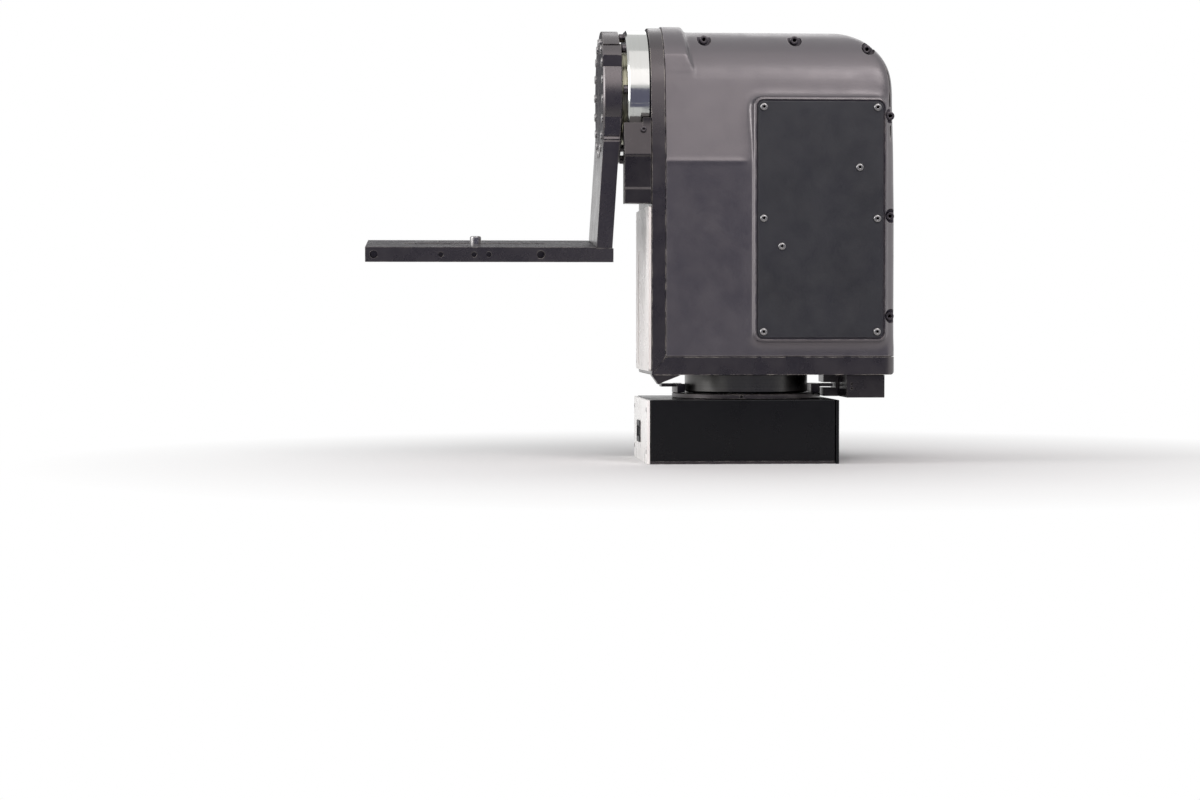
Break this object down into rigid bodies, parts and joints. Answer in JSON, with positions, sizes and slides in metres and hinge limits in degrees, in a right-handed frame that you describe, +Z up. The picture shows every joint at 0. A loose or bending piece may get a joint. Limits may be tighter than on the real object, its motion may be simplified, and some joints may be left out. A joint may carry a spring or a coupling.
{
  "type": "remote pan tilt head",
  "caption": "Motorised pan and tilt head: a box base, a moulded upright housing that pans on it, and an L-shaped camera bracket that tilts at its side.",
  "frame": {"origin": "where the pan axis meets the underside of the base plate, the face that sits on the tripod", "axes": "+Z up along the pan axis, +X along the tilt axis away from the camera bracket, -Y towards the access plate"},
  "size_m": [0.4285, 0.1399, 0.3581],
  "materials": {
    "black_anodised": "black anodised aluminium, satin",
    "black_paint": "black satin paint",
    "pale_panel": "pale grey lacquered sheet",
    "cover_paint": "dark warm grey satin paint on a casting",
    "plate_black": "fine textured black",
    "rubber": "matte black rubber",
    "bearing_steel": "ground bearing steel",
    "drum_aluminium": "dark grey anodised, turned",
    "drive_aluminium": "plain machined aluminium",
    "polished_aluminium": "bright turned aluminium",
    "adapter_aluminium": "tan passivated aluminium",
    "motor_black": "black motor enamel",
    "tray_steel": "zinc plated sheet",
    "circuit_board": "green solder mask",
    "black_plastic": "moulded black plastic",
    "black_screw": "black oxide steel",
    "steel_screw": "plain stainless steel"
  },
  "bodies": {
    "base": {"base_plate": "black_anodised", "base_housing": "black_paint", "base_panel_left": "pale_panel", "base_panel_right": "black_paint", "base_inlet": "black_plastic", "pan_flange": "black_anodised", "pan_bearing_outer": "bearing_steel", "limit_flag_left": "black_anodised", "limit_flag_right": "black_anodised", "pan_motor": "motor_black", "pan_belt": "rubber", "slip_ring_stator": "black_plastic"},
    "pan_drive": {"pan_pinion": "drive_aluminium"},
    "head": {"pan_spindle": "bearing_steel", "pan_drum": "drum_aluminium", "pan_bearing_inner": "bearing_steel", "pan_pulley": "drive_aluminium", "slip_ring_rotor": "black_plastic", "head_floor_plate": "black_anodised", "head_side_plate": "black_anodised", "front_cover": "cover_paint", "rear_cover": "cover_paint", "cover_seal": "rubber", "access_plate": "plate_black", "side_panel": "pale_panel", "pan_sensor_block": "black_anodised", "index_pointer": "black_anodised", "tilt_ring": "polished_aluminium", "tilt_block": "black_anodised", "tilt_bearing_outer": "bearing_steel", "tilt_motor": "motor_black", "tilt_motor_bracket": "drive_aluminium", "tilt_belt": "rubber", "board_tray": "tray_steel", "main_board": "circuit_board", "drive_board": "circuit_board", "connector_panel": "plate_black", "cover_screw_1": "black_screw", "cover_screw_2": "black_screw", "cover_screw_3": "black_screw", "cover_screw_4": "black_screw", "cover_screw_5": "black_screw", "cover_screw_6": "black_screw", "plate_screw_1": "steel_screw", "plate_screw_2": "steel_screw", "plate_screw_3": "steel_screw", "plate_screw_4": "steel_screw", "plate_screw_5": "steel_screw", "plate_screw_6": "steel_screw", "plate_screw_7": "steel_screw", "plate_screw_8": "steel_screw"},
    "tilt_drive": {"tilt_pinion": "drive_aluminium"},
    "camera_bracket": {"tilt_shaft": "bearing_steel", "tilt_bearing_inner": "bearing_steel", "tilt_pulley": "drive_aluminium", "tilt_adapter": "adapter_aluminium", "bracket_arm": "black_anodised", "camera_plate": "black_anodised", "camera_screw": "steel_screw"}
  },
  "joints": [
    {"name": "pan", "type": "hinge", "parent": "base", "child": "head", "pos_m": [0, 0, 0], "axis": [0, 0, 1], "range_deg": [-175, 175]},
    {"name": "tilt", "type": "hinge", "parent": "head", "child": "camera_bracket", "pos_m": [0, 0, 0.299], "axis": [1, 0, 0], "range_deg": [-99.7, 90.3]},
    {"name": "pan_motor_turn", "type": "hinge", "parent": "base", "child": "pan_drive", "pos_m": [-0.066, -0.024, 0], "axis": [0, 0, 1], "range_deg": [-880, 880]},
    {"name": "tilt_motor_turn", "type": "hinge", "parent": "head", "child": "tilt_drive", "pos_m": [0, 0, 0.15], "axis": [1, 0, 0], "range_deg": [-400, 362]}
  ],
  "couplings": [
    {"joint": "pan_motor_turn", "follows": "pan", "ratio": 5},
    {"joint": "tilt_motor_turn", "follows": "tilt", "ratio": 4}
  ]
}
